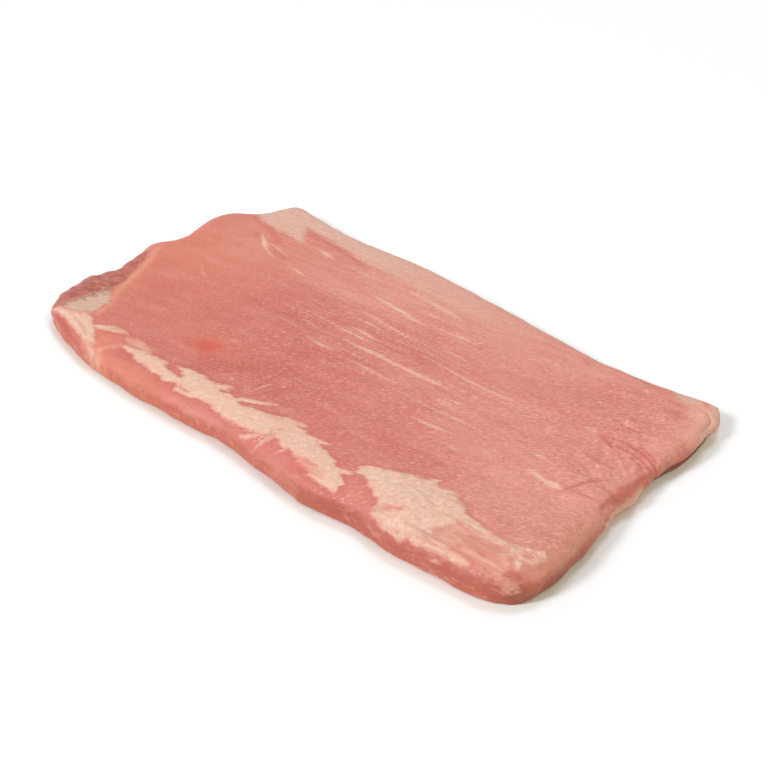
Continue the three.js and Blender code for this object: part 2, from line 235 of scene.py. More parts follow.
# Creases pressed into the upper face, darkened with painted shade
CREASES = [
    [(136, 22.4, 0.3), (143, 23.6, 0.7), (150, 23.4, 0.8), (156, 22.4, 0.8), (161, 20.6, 0.6)],
    [(140, 19.0, 0.3), (147, 19.6, 0.6), (153, 19.5, 0.7), (158, 18.4, 0.5)],
    [(150, 25.6, 0.2), (154, 25.0, 0.5), (158, 23.0, 0.3)],
    [(150, 17.0, 0.2), (154, 16.6, 0.5), (157, 15.0, 0.3)],
    [(131, 20.4, 0.2), (136, 19.2, 0.4), (141, 16.8, 0.2)],
    [(150, -1.8, 0.1), (146.5, -8, 0.35), (143.5, -16, 0.4), (140, -24, 0.1)],
    [(142, -20, 0.2), (147, -18.8, 0.5), (152, -18.2, 0.3)],
    [(133, 34.4, 0.2), (138, 34.0, 0.5), (143, 35.6, 0.3)],
    [(152.6, -75.8, 0.3), (154.8, -74.6, 1.2), (157.4, -73.2, 0.4)],
    [(149.7, 70.9, 0.2), (156.5, 69.4, 0.5), (160.9, 66.4, 0.7), (162.6, 62, 0.6), (163.6, 56, 0.2)],
    [(-127, -78.4, 0.1), (-119, -79.8, 0.5), (-112, -81.8, 0.6), (-105, -84.6, 0.2)],
    [(-6.5, -66, 0.3), (-6.2, -52, 0.6), (-6.8, -38, 0.3)],
    [(-1.0, -64, 0.2), (1.5, -55, 0.5), (6, -47, 0.3)],
]
# Lip at the back of the right end, drawn in over its hollow wall: where it rises and falls along Y, where it
# starts along X and Z, and how far it is drawn in
LIP_Y = (11, 26, 56, 73)
LIP_X = (158.5, 164)
LIP_Z = (0.8, 3.0)
LIP_DRAWN_IN = 1.6
# Painted shade in the hollow under the lip: its top, where it starts along X, the least of the lip that has
# it, and its depth elsewhere
UNDER_LIP_TOP = 4.6
UNDER_LIP_X = 150
UNDER_LIP_LEAST = 0.02
BESIDE_LIP = -9
# Pale fat at the foot of the right end's notch, up to this height
NOTCH_FAT = [[(163, -21, 1.6), (163, -14, 3), (164, -4, 5), (163, 8, 3)]]
NOTCH_FAT_TOP = 8.0
# Right end wall, browner and partly in painted shade: how far its faces turn to the right, where it fades
# out along Y towards the notch and upwards, where painted shade darkens it towards its foot, and its tan
# upper edge
END_FACING = (0.2, 0.9)
END_WALL_Y = (-46, -22)
END_WALL_TOP = (12.0, 7.5)
DARK_END_Z = (10.0, 2.0)
END_TAN = [
    [(157.4, -71.6, 1.2), (159.8, -68.4, 2.2), (161.4, -62, 2.0), (162.2, -54, 1.8), (162.6, -44, 1.4),
     (161, -32, 0.6)],
]
# Red folds, partly painted shade: the steep wall of the notch, and the lower right corner
RED_FOLDS = [
    [(159.5, 20, 0.4), (158.8, 12, 1.2), (158.4, 4, 1.8), (158.2, -6, 2.0), (157.8, -14, 1.2),
     (157.5, -19, 0.3)],
    [(152.4, -76.2, 0.3), (155, -74.8, 1.2), (158, -73.2, 0.5)],
]

# Soft shifts of the lean's colour: middle along X and Y, half length, half width, amount
BLUSH = [(-50, -51, 13, 9, 1.0)]
WARMTH = [
    (-125, 15, 55, 75, 0.9), (-66, -74, 5, 4, 0.6), (-95, -80, 12, 7, 0.8), (150, -30, 25, 45, 0.35),
    (-62, -90, 45, 5, 0.8), (0, 40, 90, 16, 0.3), (-50, -48, 26, 14, 0.7),
]
# Where fibres show as pale and dark lines
BRUSHED = [(10, 18, 70, 42, 1.0), (-60, 62, 70, 18, 0.6)]
PALENESS = [
    (110, 20, 75, 70, 0.35), (10, 62, 95, 22, 0.5), (-130, 0, 40, 60, -0.1), (-20, -35, 75, 42, -0.4),
    (-40, 34, 50, 10, 0.45), (30, -4, 35, 8, 0.25), (130, -42, 40, 25, 0.45), (45, 70, 50, 14, 0.7),
    (120, 40, 35, 25, -0.25), (154, -24, 6, 14, 0.5), (157, 48, 6, 25, 0.6), (152, 2, 3, 12, 0.3),
    (55, -90, 40, 5, -0.3), (-40, -92, 25, 4, 0.1), (-5, 40, 14, 8, 0.5), (75, -50, 22, 10, -0.3),
    (-75, -89, 14, 4, -0.25), (-118, 34, 20, 18, 0.3), (-134, -23, 10, 14, -0.2),
    (-54, -14, 15, 10, 0.45), (38, -16, 12, 8, 0.25), (42, 63, 14, 8, 0.5), (-108, -30, 14, 24, -0.25),
    (16, -54, 20, 10, -0.2), (102, -43, 14, 8, -0.2), (-10, -90, 25, 4, 0.1),
]
TANNED = [(146, -50, 24, 13, 0.9), (146, -77, 10, 4, 0.7), (158, -45, 8, 22, 0.7), (120, -46, 16, 8, 0.4)]
# Pinker and greyer places of the fat
FAT_PINK = [
    (-96, -88, 8, 5, 0.9), (-98, -74, 14, 4, 0.4), (56, -83, 14, 4, 0.8), (94, -82.6, 5, 3, 0.8),
    (141, -66.4, 7, 3, 0.5), (154.4, -64.2, 1.8, 1.6, 1.4), (151, -62.4, 3, 1.6, 0.4),
    (150, -66.6, 8, 2.4, 0.2), (126, -67.8, 8, 2, 0.7), (94, -58.6, 5, 2, 0.5), (108, -57, 8, 2, 0.3),
    (121, -80, 8, 4, 0.6),
]
FAT_GREYED = [
    (123, -77, 5, 5, 0.8), (119, -82.4, 5, 2.4, 0.9), (93, -83, 5, 3, 0.9), (117, -58.6, 4, 1.8, 0.9),
    (107, -83.8, 6, 3, 0.7), (101, -57, 6, 2, 0.8), (112, -58.4, 5, 2, 0.9), (119, -62, 4, 2, 0.8),
    (122, -81, 7, 4, 1.4),
]

# Fields that strokes and soft shifts give as they are
STROKE_FIELDS = {
    "thin_fat": THIN_FAT, "tail": TAIL, "membrane": MEMBRANE, "corner_patch": CORNER_PATCH,
    "corner_rim": CORNER_RIM, "corner_glow": CORNER_GLOW, "corner_mark": CORNER_MARK, "warm_rim": WARM_RIM,
    "red_lens": RED_LENS, "red_folds": RED_FOLDS, "end_tan": END_TAN, "shades": SHADES, "blood": BLOOD,
    "fat_blood": FAT_BLOOD,
}
SHIFT_FIELDS = {
    "blush": BLUSH, "warmth": WARMTH, "brushed": BRUSHED, "paleness": PALENESS, "tanned": TANNED,
    "fat_pink": FAT_PINK, "fat_greyed": FAT_GREYED,
}
# Fields keep values up to this size
FIELD_LIMIT = 60

# How much grain the lean shows: the least, more from the middle on and at the right, and less on the walls
# and along the front
GRAIN_LEAST = 0.45
GRAIN_MIDDLE = 0.5
GRAIN_MIDDLE_X = (-120, -20)
GRAIN_RIGHT = 0.4
GRAIN_RIGHT_X = (60, 140)
GRAIN_WALL_LOSS = 0.85
GRAIN_FRONT = 0.25
GRAIN_FRONT_Y = (-90, -76)
# How far the edges of the fat are torn: less at the left
TORN_LEAST = 2.0
TORN_MORE = 4.0
TORN_X = (-95, -60)
# How steep, and how far turned to the front, a face is where a wall starts and where it is full
WALL_SLOPE = (0.25, 0.75)
FRONT_FACING = (0.2, 0.7)
# Red of the walls, partly painted shade, and warm foot of the front, partly painted glow: where they come in
# downwards, where along X the warmth is lost by a share, and where a deeper red, partly painted shade, comes
# in
RED_WALL_Z = (13.0, 5.0)
WARM_FOOT_Z = (7.0, 1.0)
WARM_FOOT_LOSS = 0.6
WARM_FOOT_X = (-30, 60)
DEEP_WALL_X = (10, 70)

# Relief in millimetres: cell along, across and up, height, seed, turn in plan in degrees
BUNDLES = ((26, 3.6, 3.6), 0.14, 11, 8)
PEBBLES = ((2.8, 2.2, 2.2), 0.52, 12, 30)
CRAGS = ((5.5, 4.0, 4.0), 1.2, 13, 0)
FAT_RIDGES = ((6.0, 3.4, 3.4), 0.22, 14, -45)
UNEVEN = ((8.0, 5.0, 5.0), 0.22, 15, 10)
FOLDS = ((14, 12, 5.5), 1.0, 16, 0)
LUMPS = ((5.5, 5.5, 3.4), 0.4, 17, 0)
THICK_END = ((9, 6, 6), 0.6, 18, 20)
VEIN_RIDGES = ((12, 2.0, 2.0), 0.35, 19, 6)
CORNER_CRAGS = ((5.0, 4.0, 4.0), 1.0, 20, 0)
NOISE_CELLS = 64
# Where crags and pebbles stand: middle along X and Y, half length, half width, amount
CRAGGED = [(155.5, -74.5, 6, 5, 1.0), (163, -56, 4, 20, 0.6), (158, 0, 4, 14, 0.6)]
PEBBLED = [
    (148, 12, 17, 24, 0.8), (137, 36, 13, 18, 0.8), (128, -20, 22, 18, 0.4), (68, -7, 12, 7, 0.6),
    (157, 0, 5, 18, 0.5), (156, 52, 8, 16, 0.4), (138, -74, 15, 5, 0.6),
    (102, -71, 17, 13, 0.9), (40, -77, 28, 6, 0.4), (-25, -77, 40, 5, 0.3),
]
# Heights and depths, and where along X, up from the floor or into a stroke the relief comes in
FAT_RAISED = 0.4
FAT_EDGE = (-1.0, 1.4)
CREASE_DEPTH = 0.8
CREASE_EDGE = (-1.0, 0.7)
SOFT_EDGE = (-2.0, 2.0)
THICK_END_X = (40, 140)
FLOOR_CLEAR = (0.2, 1.5)
# How far the foot of the front wall slumps outwards, and below which heights
SLUMP = 0.6
SLUMP_Z = (3.0, 0.6)

# Mesh: vertices merged within a distance in metres, triangles joined up to an angle, and times divided
MERGE_DISTANCE = 1e-6
QUAD_ANGLE = math.radians(60)
DIVISIONS = 2
# Smaller faces where they look up: on the right end from a place along X on, and on the broad patch right of
# and in front of places along X and Y
REFINED_UPWARD = 0.2
REFINED_X = 135
REFINED_PATCH = (76, -55)

# Surface: shares, and millimetres for the bump's distance and the scattering's scale
ROUGHNESS = 0.56
WET_SPECKS = 0.22
MEAT_IOR = 1.4
SUBSURFACE = 0.25
SUBSURFACE_RADIUS = (1.0, 0.35, 0.25)
SUBSURFACE_SCALE = 1.5
BLOTCH_BUMP = 1.2
BUMP_STRENGTH = 0.5
BUMP_DISTANCE = 0.5
# How far noise moves the edges of fat, streaks, their halo, membrane and cut,
# and how much it shifts the paleness
GRIT_REACH = 1.6
BROKEN_REACH = 2.4
HALO_REACH = 2.0
FRAY_REACH = 5.0
NEAR_CUT_REACH = 6.0
PATCHY_PALENESS = 0.4
# A streak's half width is widened by this factor before noise breaks it up
STREAK_SPREAD = 2.0

# Colours as eight-bit sRGB
LEAN = (207, 121, 109)
LEAN_WARM = (217, 130, 108)
LEAN_PALE = (223, 155, 138)
LEAN_DEEP = (195, 99, 89)
LEAN_TAN = (206, 140, 120)
RIM_ORANGE = (226, 156, 131)
CREAM = (226, 184, 163)
CREAM_DEEP = (227, 172, 150)
CREAM_WHITE = (235, 202, 185)
GREY = (210, 172, 153)
GREY_BROWN = (166, 112, 101)
GREY_PINK = (202, 148, 135)
MEMBRANE_PALE = (219, 175, 158)
VEIN_MIX = (212, 142, 120)
STREAK = (233, 193, 175)
# Painted highlights on specks, pebbles and walls
PAINTED_PINK_HIGHLIGHT = (235, 168, 155)
RED = (212, 84, 70)
RED_BROWN = (186, 94, 78)
FAT_RED = (226, 128, 116)
DRIED = (190, 110, 97)
DRIED_DARK = (160, 86, 77)
# Brown of the right end wall, partly its own colour and partly painted shade
END_WALL_BROWN_SHADE = (184, 98, 72)
# Orange of the front foot, partly painted glow
FOOT_ORANGE_GLOW = (208, 119, 82)
# Reds of the walls, partly their own colour and partly painted shade
WALL_RED = (190, 101, 77)
WALL_DEEP = (170, 88, 70)
END_TAN_BROWN = (211, 145, 121)
NOTCH_TAN = (226, 180, 152)
# Dark brown: painted shade in the lip's hollow and towards the right end wall's foot, and that wall's dark
# mottles
DARK_BROWN_AND_SHADE = (144, 78, 62)
FLOOR_WHITE = (247, 249, 249)


def linear(colour):
    """Colour given as eight-bit sRGB, as the linear RGBA that a socket takes."""
    shares = np.array(colour) / 255
    bright = ((shares + 0.055) / 1.055) ** 2.4
    return (*np.where(shares <= 0.04045, shares / 12.92, bright), 1.0)


def smooth(value, low, high):
    """0 at low, 1 at high, eased between them and level beyond them."""
    share = np.clip((value - low) / (high - low), 0, 1)
    return share * share * (3 - 2 * share)


def segments(places, strokes):
    """Distance from each segment of the strokes, the side it is on, and the segment's half width there."""
    for stroke in strokes:
        for (xa, ya, ra), (xb, yb, rb) in zip(stroke, stroke[1:]):
            side = np.array([xb - xa, yb - ya])
            away = places - (xa, ya)
            share = np.clip(away @ side / (side @ side), 0, 1)
            gap = np.linalg.norm(away - share[:, None] * side, axis=1)
            sign = np.sign(side[0] * away[:, 1] - side[1] * away[:, 0])
            yield gap, sign, ra + (rb - ra) * share


def depth_inside(places, strokes):
    """How far each place lies inside the strokes; negative outside."""
    depth = np.full(len(places), -np.inf)
    for gap, _, half_width in segments(places, strokes):
        depth = np.maximum(depth, half_width - gap)
    return depth


def nearest_line(places, strokes):
    """Signed offset from the nearest stroke's middle line, and its half width there, 0 out of reach."""
    gaps = np.full(len(places), np.inf)
    offset = np.zeros(len(places))
    width = np.zeros(len(places))
    for gap, sign, half_width in segments(places, strokes):
        nearer = gap < gaps
        gaps = np.where(nearer, gap, gaps)
        offset = np.where(nearer, sign * gap, offset)
        width = np.where(nearer, half_width, width)
    return offset, np.where(gaps < LINE_REACH, width, 0.0)


def blobs(places, shifts):
    """Sum of soft oval shifts."""
    summed = np.zeros(len(places))
    for x, y, length, width, amount in shifts:
        summed += amount * np.exp(-((places[:, 0] - x) / length) ** 2 - ((places[:, 1] - y) / width) ** 2)
    return summed


def unevenness(points, relief):
    """Smooth seeded relief about zero."""
    cell, height, seed, turn = relief
    c, s = math.cos(math.radians(turn)), math.sin(math.radians(turn))
    turned = points @ np.array([[c, -s, 0], [s, c, 0], [0, 0, 1]])
    table = np.random.default_rng(seed).uniform(-1, 1, (NOISE_CELLS,) * 3)
    grid = turned / cell
    low = np.floor(grid).astype(int)
    part = grid - low
    part = part * part * (3 - 2 * part)
    summed = np.zeros(len(points))
    for corner in itertools.product((0, 1), repeat=3):
        weight = np.prod(np.where(corner, part, 1 - part), axis=1)
        summed += weight * table[tuple(((low + corner) % NOISE_CELLS).T)]
    return height * summed


def merged_facets(solid):
    """The CAD solid's mesh with its triangles joined into quads."""
    work = bmesh.new()
    work.from_mesh(solid.data)
    bmesh.ops.remove_doubles(work, verts=work.verts, dist=MERGE_DISTANCE)
    bmesh.ops.join_triangles(
        work, faces=work.faces, angle_face_threshold=QUAD_ANGLE, angle_shape_threshold=QUAD_ANGLE)
    mesh = bpy.data.meshes.new("coarse")
    work.to_mesh(mesh)
    work.free()
    return mesh


def divided(coarse):
    """The mesh with smooth, finer faces."""
    carrier = bpy.data.objects.new("carrier", coarse)
    bpy.context.scene.collection.objects.link(carrier)
    divide = carrier.modifiers.new("divide", "SUBSURF")
    divide.levels = DIVISIONS
    divide.render_levels = DIVISIONS
    evaluated = carrier.evaluated_get(bpy.context.evaluated_depsgraph_get())
    mesh = bpy.data.meshes.new_from_object(evaluated)
    bpy.data.objects.remove(carrier)
    mesh.materials.clear()
    return mesh


def refine(mesh):
    """Cuts the upward faces of the right end and of the broad patch of fat once more."""
    work = bmesh.new()
    work.from_mesh(mesh)
    edges = set()
    for face in work.faces:
        x, y, _ = face.calc_center_median() / MM
        on_patch = x > REFINED_PATCH[0] and y < REFINED_PATCH[1]
        if face.normal.z > REFINED_UPWARD and (x > REFINED_X or on_patch):
            edges.update(face.edges)
    bmesh.ops.subdivide_edges(work, edges=list(edges), cuts=1, use_grid_fill=True)
    work.to_mesh(mesh)
    work.free()


def vertex_rows(values, name):
    """A vector that a mesh keeps for each vertex, as rows."""
    flat = np.empty(3 * len(values), np.float32)
    values.foreach_get(name, flat)
    return flat.reshape(-1, 3).astype(float)


# Mesh, and where its vertices lie
mesh = divided(merged_facets(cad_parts["steak"]))
refine(mesh)
mesh.name = "steak_visual"
points = vertex_rows(mesh.vertices, "co") / MM
normals = vertex_rows(mesh.vertex_normals, "vector")
places = points[:, :2]
along, across, height = points.T

fat_depth = np.minimum(depth_inside(places, FAT), -depth_inside(places, GAPS))
grey_depth = depth_inside(places, GREY_FAT)
cut_depth = depth_inside(places, CUT)
vein_depth = depth_inside(places, VEINED)
streak_offset, streak_width = nearest_line(places, STREAKS)
crease_offset, crease_width = nearest_line(places, CREASES)
pebble_share = blobs(places, PEBBLED)
wall = smooth(1 - normals[:, 2], *WALL_SLOPE)
front = smooth(-normals[:, 1], *FRONT_FACING)
along_lip = smooth(across, *LIP_Y[:2]) * (1 - smooth(across, *LIP_Y[2:]))

# Relief
on_fat = smooth(np.maximum(fat_depth, grey_depth), *FAT_EDGE)
relief = (
    on_fat * FAT_RAISED
    + on_fat * unevenness(points, FAT_RIDGES)
    + (1 - on_fat) * unevenness(points, BUNDLES)
    + pebble_share * unevenness(points, PEBBLES)
    + smooth(cut_depth, *SOFT_EDGE) * unevenness(points, CRAGS)
    + wall * (unevenness(points, FOLDS) + unevenness(points, LUMPS))
    + smooth(along, *THICK_END_X) * unevenness(points, THICK_END)
    + smooth(vein_depth, *SOFT_EDGE) * unevenness(points, VEIN_RIDGES)
    + blobs(places, CRAGGED) * unevenness(points, CORNER_CRAGS)
    + unevenness(points, UNEVEN)
    - CREASE_DEPTH * smooth(crease_width - np.abs(crease_offset), *CREASE_EDGE)
)
shaped = points + normals * (relief * smooth(height, *FLOOR_CLEAR))[:, None]
shaped[:, 0] -= LIP_DRAWN_IN * along_lip * smooth(along, *LIP_X) * smooth(height, *LIP_Z)
shaped[:, :2] += SLUMP * normals[:, :2] * (front * smooth(height, *SLUMP_Z))[:, None]
shaped[:, 2] = np.maximum(shaped[:, 2], 0)
mesh.vertices.foreach_set("co", (shaped * MM).astype(np.float32).ravel())
mesh.polygons.foreach_set("use_smooth", np.ones(len(mesh.polygons), bool))
mesh.update()

# Fields: values kept on the vertices for the material
grained = GRAIN_LEAST + GRAIN_MIDDLE * smooth(along, *GRAIN_MIDDLE_X)
grained += GRAIN_RIGHT * smooth(along, *GRAIN_RIGHT_X)
grained *= 1 - GRAIN_WALL_LOSS * wall
grained *= GRAIN_FRONT + (1 - GRAIN_FRONT) * smooth(across, *GRAIN_FRONT_Y)
# Right end wall and the lip's hollow, which get painted shade
end_wall = smooth(normals[:, 0], *END_FACING) * smooth(height, *END_WALL_TOP)
beneath_lip = (along > UNDER_LIP_X) & (along_lip > UNDER_LIP_LEAST)

fields = {name: depth_inside(places, strokes) for name, strokes in STROKE_FIELDS.items()}
fields |= {name: blobs(places, shifts) for name, shifts in SHIFT_FIELDS.items()}
fields |= {
    "fat": fat_depth,
    "grey_fat": grey_depth,
    "cut": cut_depth,
    "veined": vein_depth,
    "streak_offset": streak_offset,
    "streak_width": streak_width,
    "crease_offset": crease_offset,
    "crease_width": crease_width,
    "pebbled": pebble_share,
    "height": height,
    "wall": wall,
    "grained": grained,
    "membrane_share": 1 - smooth(along, *MEMBRANE_FADE),
    "corner_fleck": np.minimum(depth_inside(places, CORNER_FLECK), height - CORNER_FLECK_FOOT),
    "notch_fat": np.minimum(depth_inside(places, NOTCH_FAT), NOTCH_FAT_TOP - height),
    "torn": TORN_LEAST + TORN_MORE * smooth(along, *TORN_X),
    # Masks for the front foot's painted glow, and for painted shade on the walls and under the lip
    "warm_foot": front * (1 - WARM_FOOT_LOSS * smooth(along, *WARM_FOOT_X)),
    "deep_wall": wall * front * smooth(along, *DEEP_WALL_X),
    "end_wall": end_wall * (1 - smooth(across, *END_WALL_Y)),
    "under_lip": np.where(beneath_lip, UNDER_LIP_TOP * along_lip - height, BESIDE_LIP),
}
for name, values in fields.items():
    attribute = mesh.attributes.new(name, "FLOAT", "POINT")
    attribute.data.foreach_set("value", np.clip(values, -FIELD_LIMIT, FIELD_LIMIT).astype(np.float32))

steak = bpy.data.objects.new("steak_visual", mesh)
bpy.context.scene.collection.objects.link(steak)

# Material of the meat
material = bpy.data.materials.new("raw_meat")
material.use_nodes = True
tree = material.node_tree
surface = tree.nodes["Principled BSDF"]


def node(kind, inputs, **settings):
    """Adds a shader node with its settings, values and links."""
    made = tree.nodes.new(kind)
    for name, value in settings.items():
        setattr(made, name, value)
    for key, value in inputs.items():
        if isinstance(value, bpy.types.NodeSocket):
            tree.links.new(value, made.inputs[key])
        else:
            made.inputs[key].default_value = value
    return made


def field(name):
    """A value kept on the vertices."""
    return node("ShaderNodeAttribute", {}, attribute_name=name).outputs["Fac"]


def math_node(operation, a, b=0.0):
    """Result of a maths operation on two values."""
    return node("ShaderNodeMath", {0: a, 1: b}, operation=operation).outputs[0]


def product(*values):
    """Values multiplied with each other."""
    return functools.reduce(lambda a, b: math_node("MULTIPLY", a, b), values)


def total(*values):
    """Values added up."""
    return functools.reduce(lambda a, b: math_node("ADD", a, b), values)


def eased(value, low, high, top=1.0):
    """0 at low to top at high, eased between them and level beyond them."""
    inputs = {"Value": value, "From Min": low, "From Max": high, "To Min": 0.0, "To Max": top}
    return node("ShaderNodeMapRange", inputs, interpolation_type="SMOOTHSTEP").outputs["Result"]


def over(below, above, share):
    """One colour laid over another by a share."""
    return node("ShaderNodeMix", {0: share, 6: below, 7: above}, data_type="RGBA").outputs[2]


def painted(below, colour, *shares):
    """A plain colour laid over another by the product of the shares."""
    return over(below, linear(colour), product(*shares))


object_place = node("ShaderNodeTexCoord", {}).outputs["Object"]


def speckle(cell, turn, detail):
    """Noise from 0 to 1 whose grains have the cell's sizes in millimetres, turned in plan by degrees."""
    inputs = {
        "Vector": object_place,
        "Rotation": (0, 0, math.radians(turn)),
        "Scale": tuple(size * MM for size in cell),
    }
    where = node("ShaderNodeMapping", inputs, vector_type="TEXTURE").outputs[0]
    return node("ShaderNodeTexNoise", {"Vector": where, "Scale": 1.0, "Detail": detail}).outputs["Fac"]


def shifted(name, noise, reach):
    """A field moved by noise, by up to half the reach in millimetres either way."""
    inputs = {0: math_node("SUBTRACT", noise, 0.5), 1: reach, 2: field(name)}
    return node("ShaderNodeMath", inputs, operation="MULTIPLY_ADD").outputs[0]


def inside_line(name, spread=1.0):
    """How far inside the nearest line a place lies, with the line's half width spread by a factor."""
    half_width = product(field(name + "_width"), spread)
    return math_node("SUBTRACT", half_width, math_node("ABSOLUTE", field(name + "_offset")))


# Noises: cell along, across and up, turn, detail
grain = speckle((2.0, 1.2, 1.2), 38, 1.0)
specks = speckle((2.0, 1.0, 1.0), 42, 0.0)
spots = speckle((2.1, 1.7, 1.7), 36, 1.0)
blotch = speckle((5.5, 3.2, 3.2), 22, 2.0)
patchy = speckle((13, 8, 8), 20, 3.0)
mottle = speckle((22, 7, 7), 8, 3.0)
broad = speckle((60, 26, 26), 8, 2.0)
flames = speckle((15, 3.2, 3.2), 26, 1.0)
bands = speckle((40, 3.6, 3.6), 2, 1.0)
hairs = speckle((28, 1.6, 1.6), 3, 2.0)
hatch = speckle((2.8, 1.0, 1.0), 42, 1.0)
veins = speckle((13, 1.7, 1.7), 4, 2.0)
grit = product(math_node("SUBTRACT", grain, 0.5), GRIT_REACH)

# Each layer starts where eased starts and is full where eased ends, by the share that comes last. These
# places are values of noise about 0.5, amounts of a shift, or millimetres inside a stroke


def lean():
    """Lean with its warmer, paler and tanned places, walls with some painted shade and highlights, mottle
    and bands.
    """
    paleness = field("paleness")
    on_wall = field("wall")
    banded = field("brushed")
    colour = over(linear(LEAN_DEEP), linear(LEAN), eased(broad, 0.25, 0.5))
    colour = painted(colour, LEAN_WARM, eased(field("warmth"), 0.1, 0.9, 0.85))
    paler = total(paleness, product(patchy, PATCHY_PALENESS))
    colour = painted(colour, LEAN_PALE, eased(paler, 0.1, 0.75, 0.7))
    colour = painted(colour, LEAN_DEEP, eased(paleness, -0.05, -0.4, 0.35))
    colour = painted(colour, LEAN_TAN, eased(field("tanned"), 0.1, 1.0, 0.8))
    # Deeper red low on the walls, partly painted shade
    colour = painted(colour, WALL_RED, on_wall, eased(field("height"), *RED_WALL_Z, 0.8))
    # Deeper red on the right of the front wall, partly painted shade
    colour = painted(colour, WALL_DEEP, field("deep_wall"), 0.6)
    colour = painted(colour, LEAN_DEEP, on_wall, eased(blotch, 0.52, 0.32, 0.65))
    # Painted highlights on the walls
    colour = painted(colour, PAINTED_PINK_HIGHLIGHT, on_wall, eased(blotch, 0.52, 0.72, 0.35))
    colour = painted(colour, LEAN_PALE, eased(mottle, 0.5, 0.75, 0.35))
    colour = painted(colour, LEAN_DEEP, eased(mottle, 0.5, 0.25, 0.3))
    colour = painted(colour, LEAN_PALE, banded, eased(bands, 0.5, 0.7, 0.28))
    return painted(colour, LEAN_DEEP, banded, eased(bands, 0.5, 0.3, 0.22))


def with_grain(colour):
    """Fine grain of the lean with painted highlights, and the pebbles with painted highlights and shade
    between them.
    """
    grain_share = field("grained")
    pebbled = field("pebbled")
    colour = painted(colour, LEAN_PALE, grain_share, eased(grain, 0.48, 0.76, 0.55))
    colour = painted(colour, LEAN_DEEP, grain_share, eased(grain, 0.5, 0.22, 0.3))
    # Painted highlights on the specks
    colour = painted(colour, PAINTED_PINK_HIGHLIGHT, grain_share, eased(specks, 0.58, 0.8, 0.42))
    # Painted highlights on the pebbles, and painted shade between them
    colour = painted(colour, PAINTED_PINK_HIGHLIGHT, pebbled, eased(spots, 0.5, 0.72, 0.75))
    return painted(colour, LEAN_DEEP, pebbled, eased(spots, 0.48, 0.25, 0.2))


def with_lines(colour):
    """Red spot, dark bands and marks partly painted shade, painted shade in creases, pale streaks and fibres
    of the lean.
    """
    brushed = field("brushed")
    colour = painted(colour, RED, eased(field("blush"), 0.0, 1.0, 0.32))
    colour = painted(colour, RED, eased(shifted("blood", blotch, 4.0), -3.5, 3.0, 0.55))
    # Darker bands and marks, at the right end partly painted shade
    colour = painted(colour, LEAN_DEEP, eased(shifted("shades", blotch, 3.0), -2.5, 1.8, 0.5))
    # Painted shade in the creases
    colour = painted(colour, LEAN_DEEP, eased(inside_line("crease"), -0.7, 0.4, 0.55))
    thread = total(inside_line("streak", STREAK_SPREAD), hairs)
    halo = total(thread, product(blotch, HALO_REACH))
    broken = total(thread, product(grain, BROKEN_REACH))
    colour = painted(colour, LEAN_PALE, eased(halo, 0.8, 4.2, 0.55))
    colour = painted(colour, STREAK, eased(broken, 1.7, 4.2, 0.8))
    colour = painted(colour, LEAN_DEEP, brushed, eased(hairs, 0.46, 0.28, 0.45))
    return painted(colour, STREAK, brushed, eased(hairs, 0.5, 0.74, 0.5), eased(grain, 0.35, 0.6))


def with_membrane(colour):
    """Thin membrane along the back."""
    frayed = total(shifted("membrane", hairs, 7.0), product(hatch, FRAY_REACH))
    on_membrane = product(eased(frayed, -0.5, 5.5), field("membrane_share"))
    colour = painted(colour, MEMBRANE_PALE, on_membrane)
    colour = painted(colour, LEAN_PALE, on_membrane, eased(bands, 0.5, 0.32, 0.5))
    colour = painted(colour, LEAN, on_membrane, eased(hatch, 0.44, 0.2, 0.5))
    colour = painted(colour, GREY_PINK, on_membrane, eased(hairs, 0.46, 0.28, 0.25))
    return painted(colour, CREAM_WHITE, on_membrane, eased(hatch, 0.54, 0.76, 0.6))


def with_left_corner(colour):
    """Warm rim, red lens, dried cut end and greyish fat of the left corner."""
    colour = painted(colour, LEAN_WARM, eased(field("warm_rim"), -5.0, 0.5, 0.6))
    colour = painted(colour, RIM_ORANGE, eased(shifted("warm_rim", blotch, 5.0), -1.6, 2.4, 0.7))
    colour = painted(colour, RED_BROWN, eased(field("red_lens"), -0.9, 0.9, 0.8))
    dried = over(linear(DRIED_DARK), linear(DRIED), eased(blotch, 0.35, 0.6))
    dried = painted(dried, GREY, eased(grain, 0.56, 0.8, 0.5))
    colour = over(colour, dried, eased(shifted("cut", blotch, 6.0), -1.5, 1.5, 0.9))
    near_cut = total(shifted("cut", blotch, 14.0), product(specks, NEAR_CUT_REACH))
    grey = over(linear(GREY), linear(GREY_BROWN), eased(near_cut, -4.0, 1.0, 0.85))
    grey = painted(grey, CREAM_WHITE, eased(grain, 0.5, 0.75, 0.5))
    return over(colour, grey, eased(shifted("grey_fat", blotch, 7.0), -1.2, 1.2))


def with_veins(colour):
    """Veined lean, thin fat and the mottled tail of the broad patch, with painted highlights on the tail."""
    in_veins = eased(field("veined"), -3.0, 3.0)
    colour = painted(colour, VEIN_MIX, in_veins, 0.8)
    colour = painted(colour, LEAN_DEEP, in_veins, eased(veins, 0.48, 0.25, 0.5))
    colour = painted(colour, CREAM_DEEP, in_veins, eased(veins, 0.5, 0.72, 0.5))
    colour = painted(colour, CREAM_WHITE, in_veins, eased(hairs, 0.56, 0.74, 0.35))
    thin = total(shifted("thin_fat", blotch, 4.0), grit)
    colour = painted(colour, CREAM_DEEP, eased(thin, -1.8, 1.6, 0.8))
    # Painted highlights on the tail's spots
    tail_colour = over(linear(CREAM_DEEP), linear(CREAM_WHITE), eased(spots, 0.42, 0.62))
    tail_colour = painted(tail_colour, VEIN_MIX, eased(shifted("fat_pink", veins, 2.4), 0.2, 1.1, 0.9))
    tail_edge = total(shifted("tail", blotch, 4.0), grit)
    return over(colour, tail_colour, eased(tail_edge, -1.6, 1.2, 0.95))


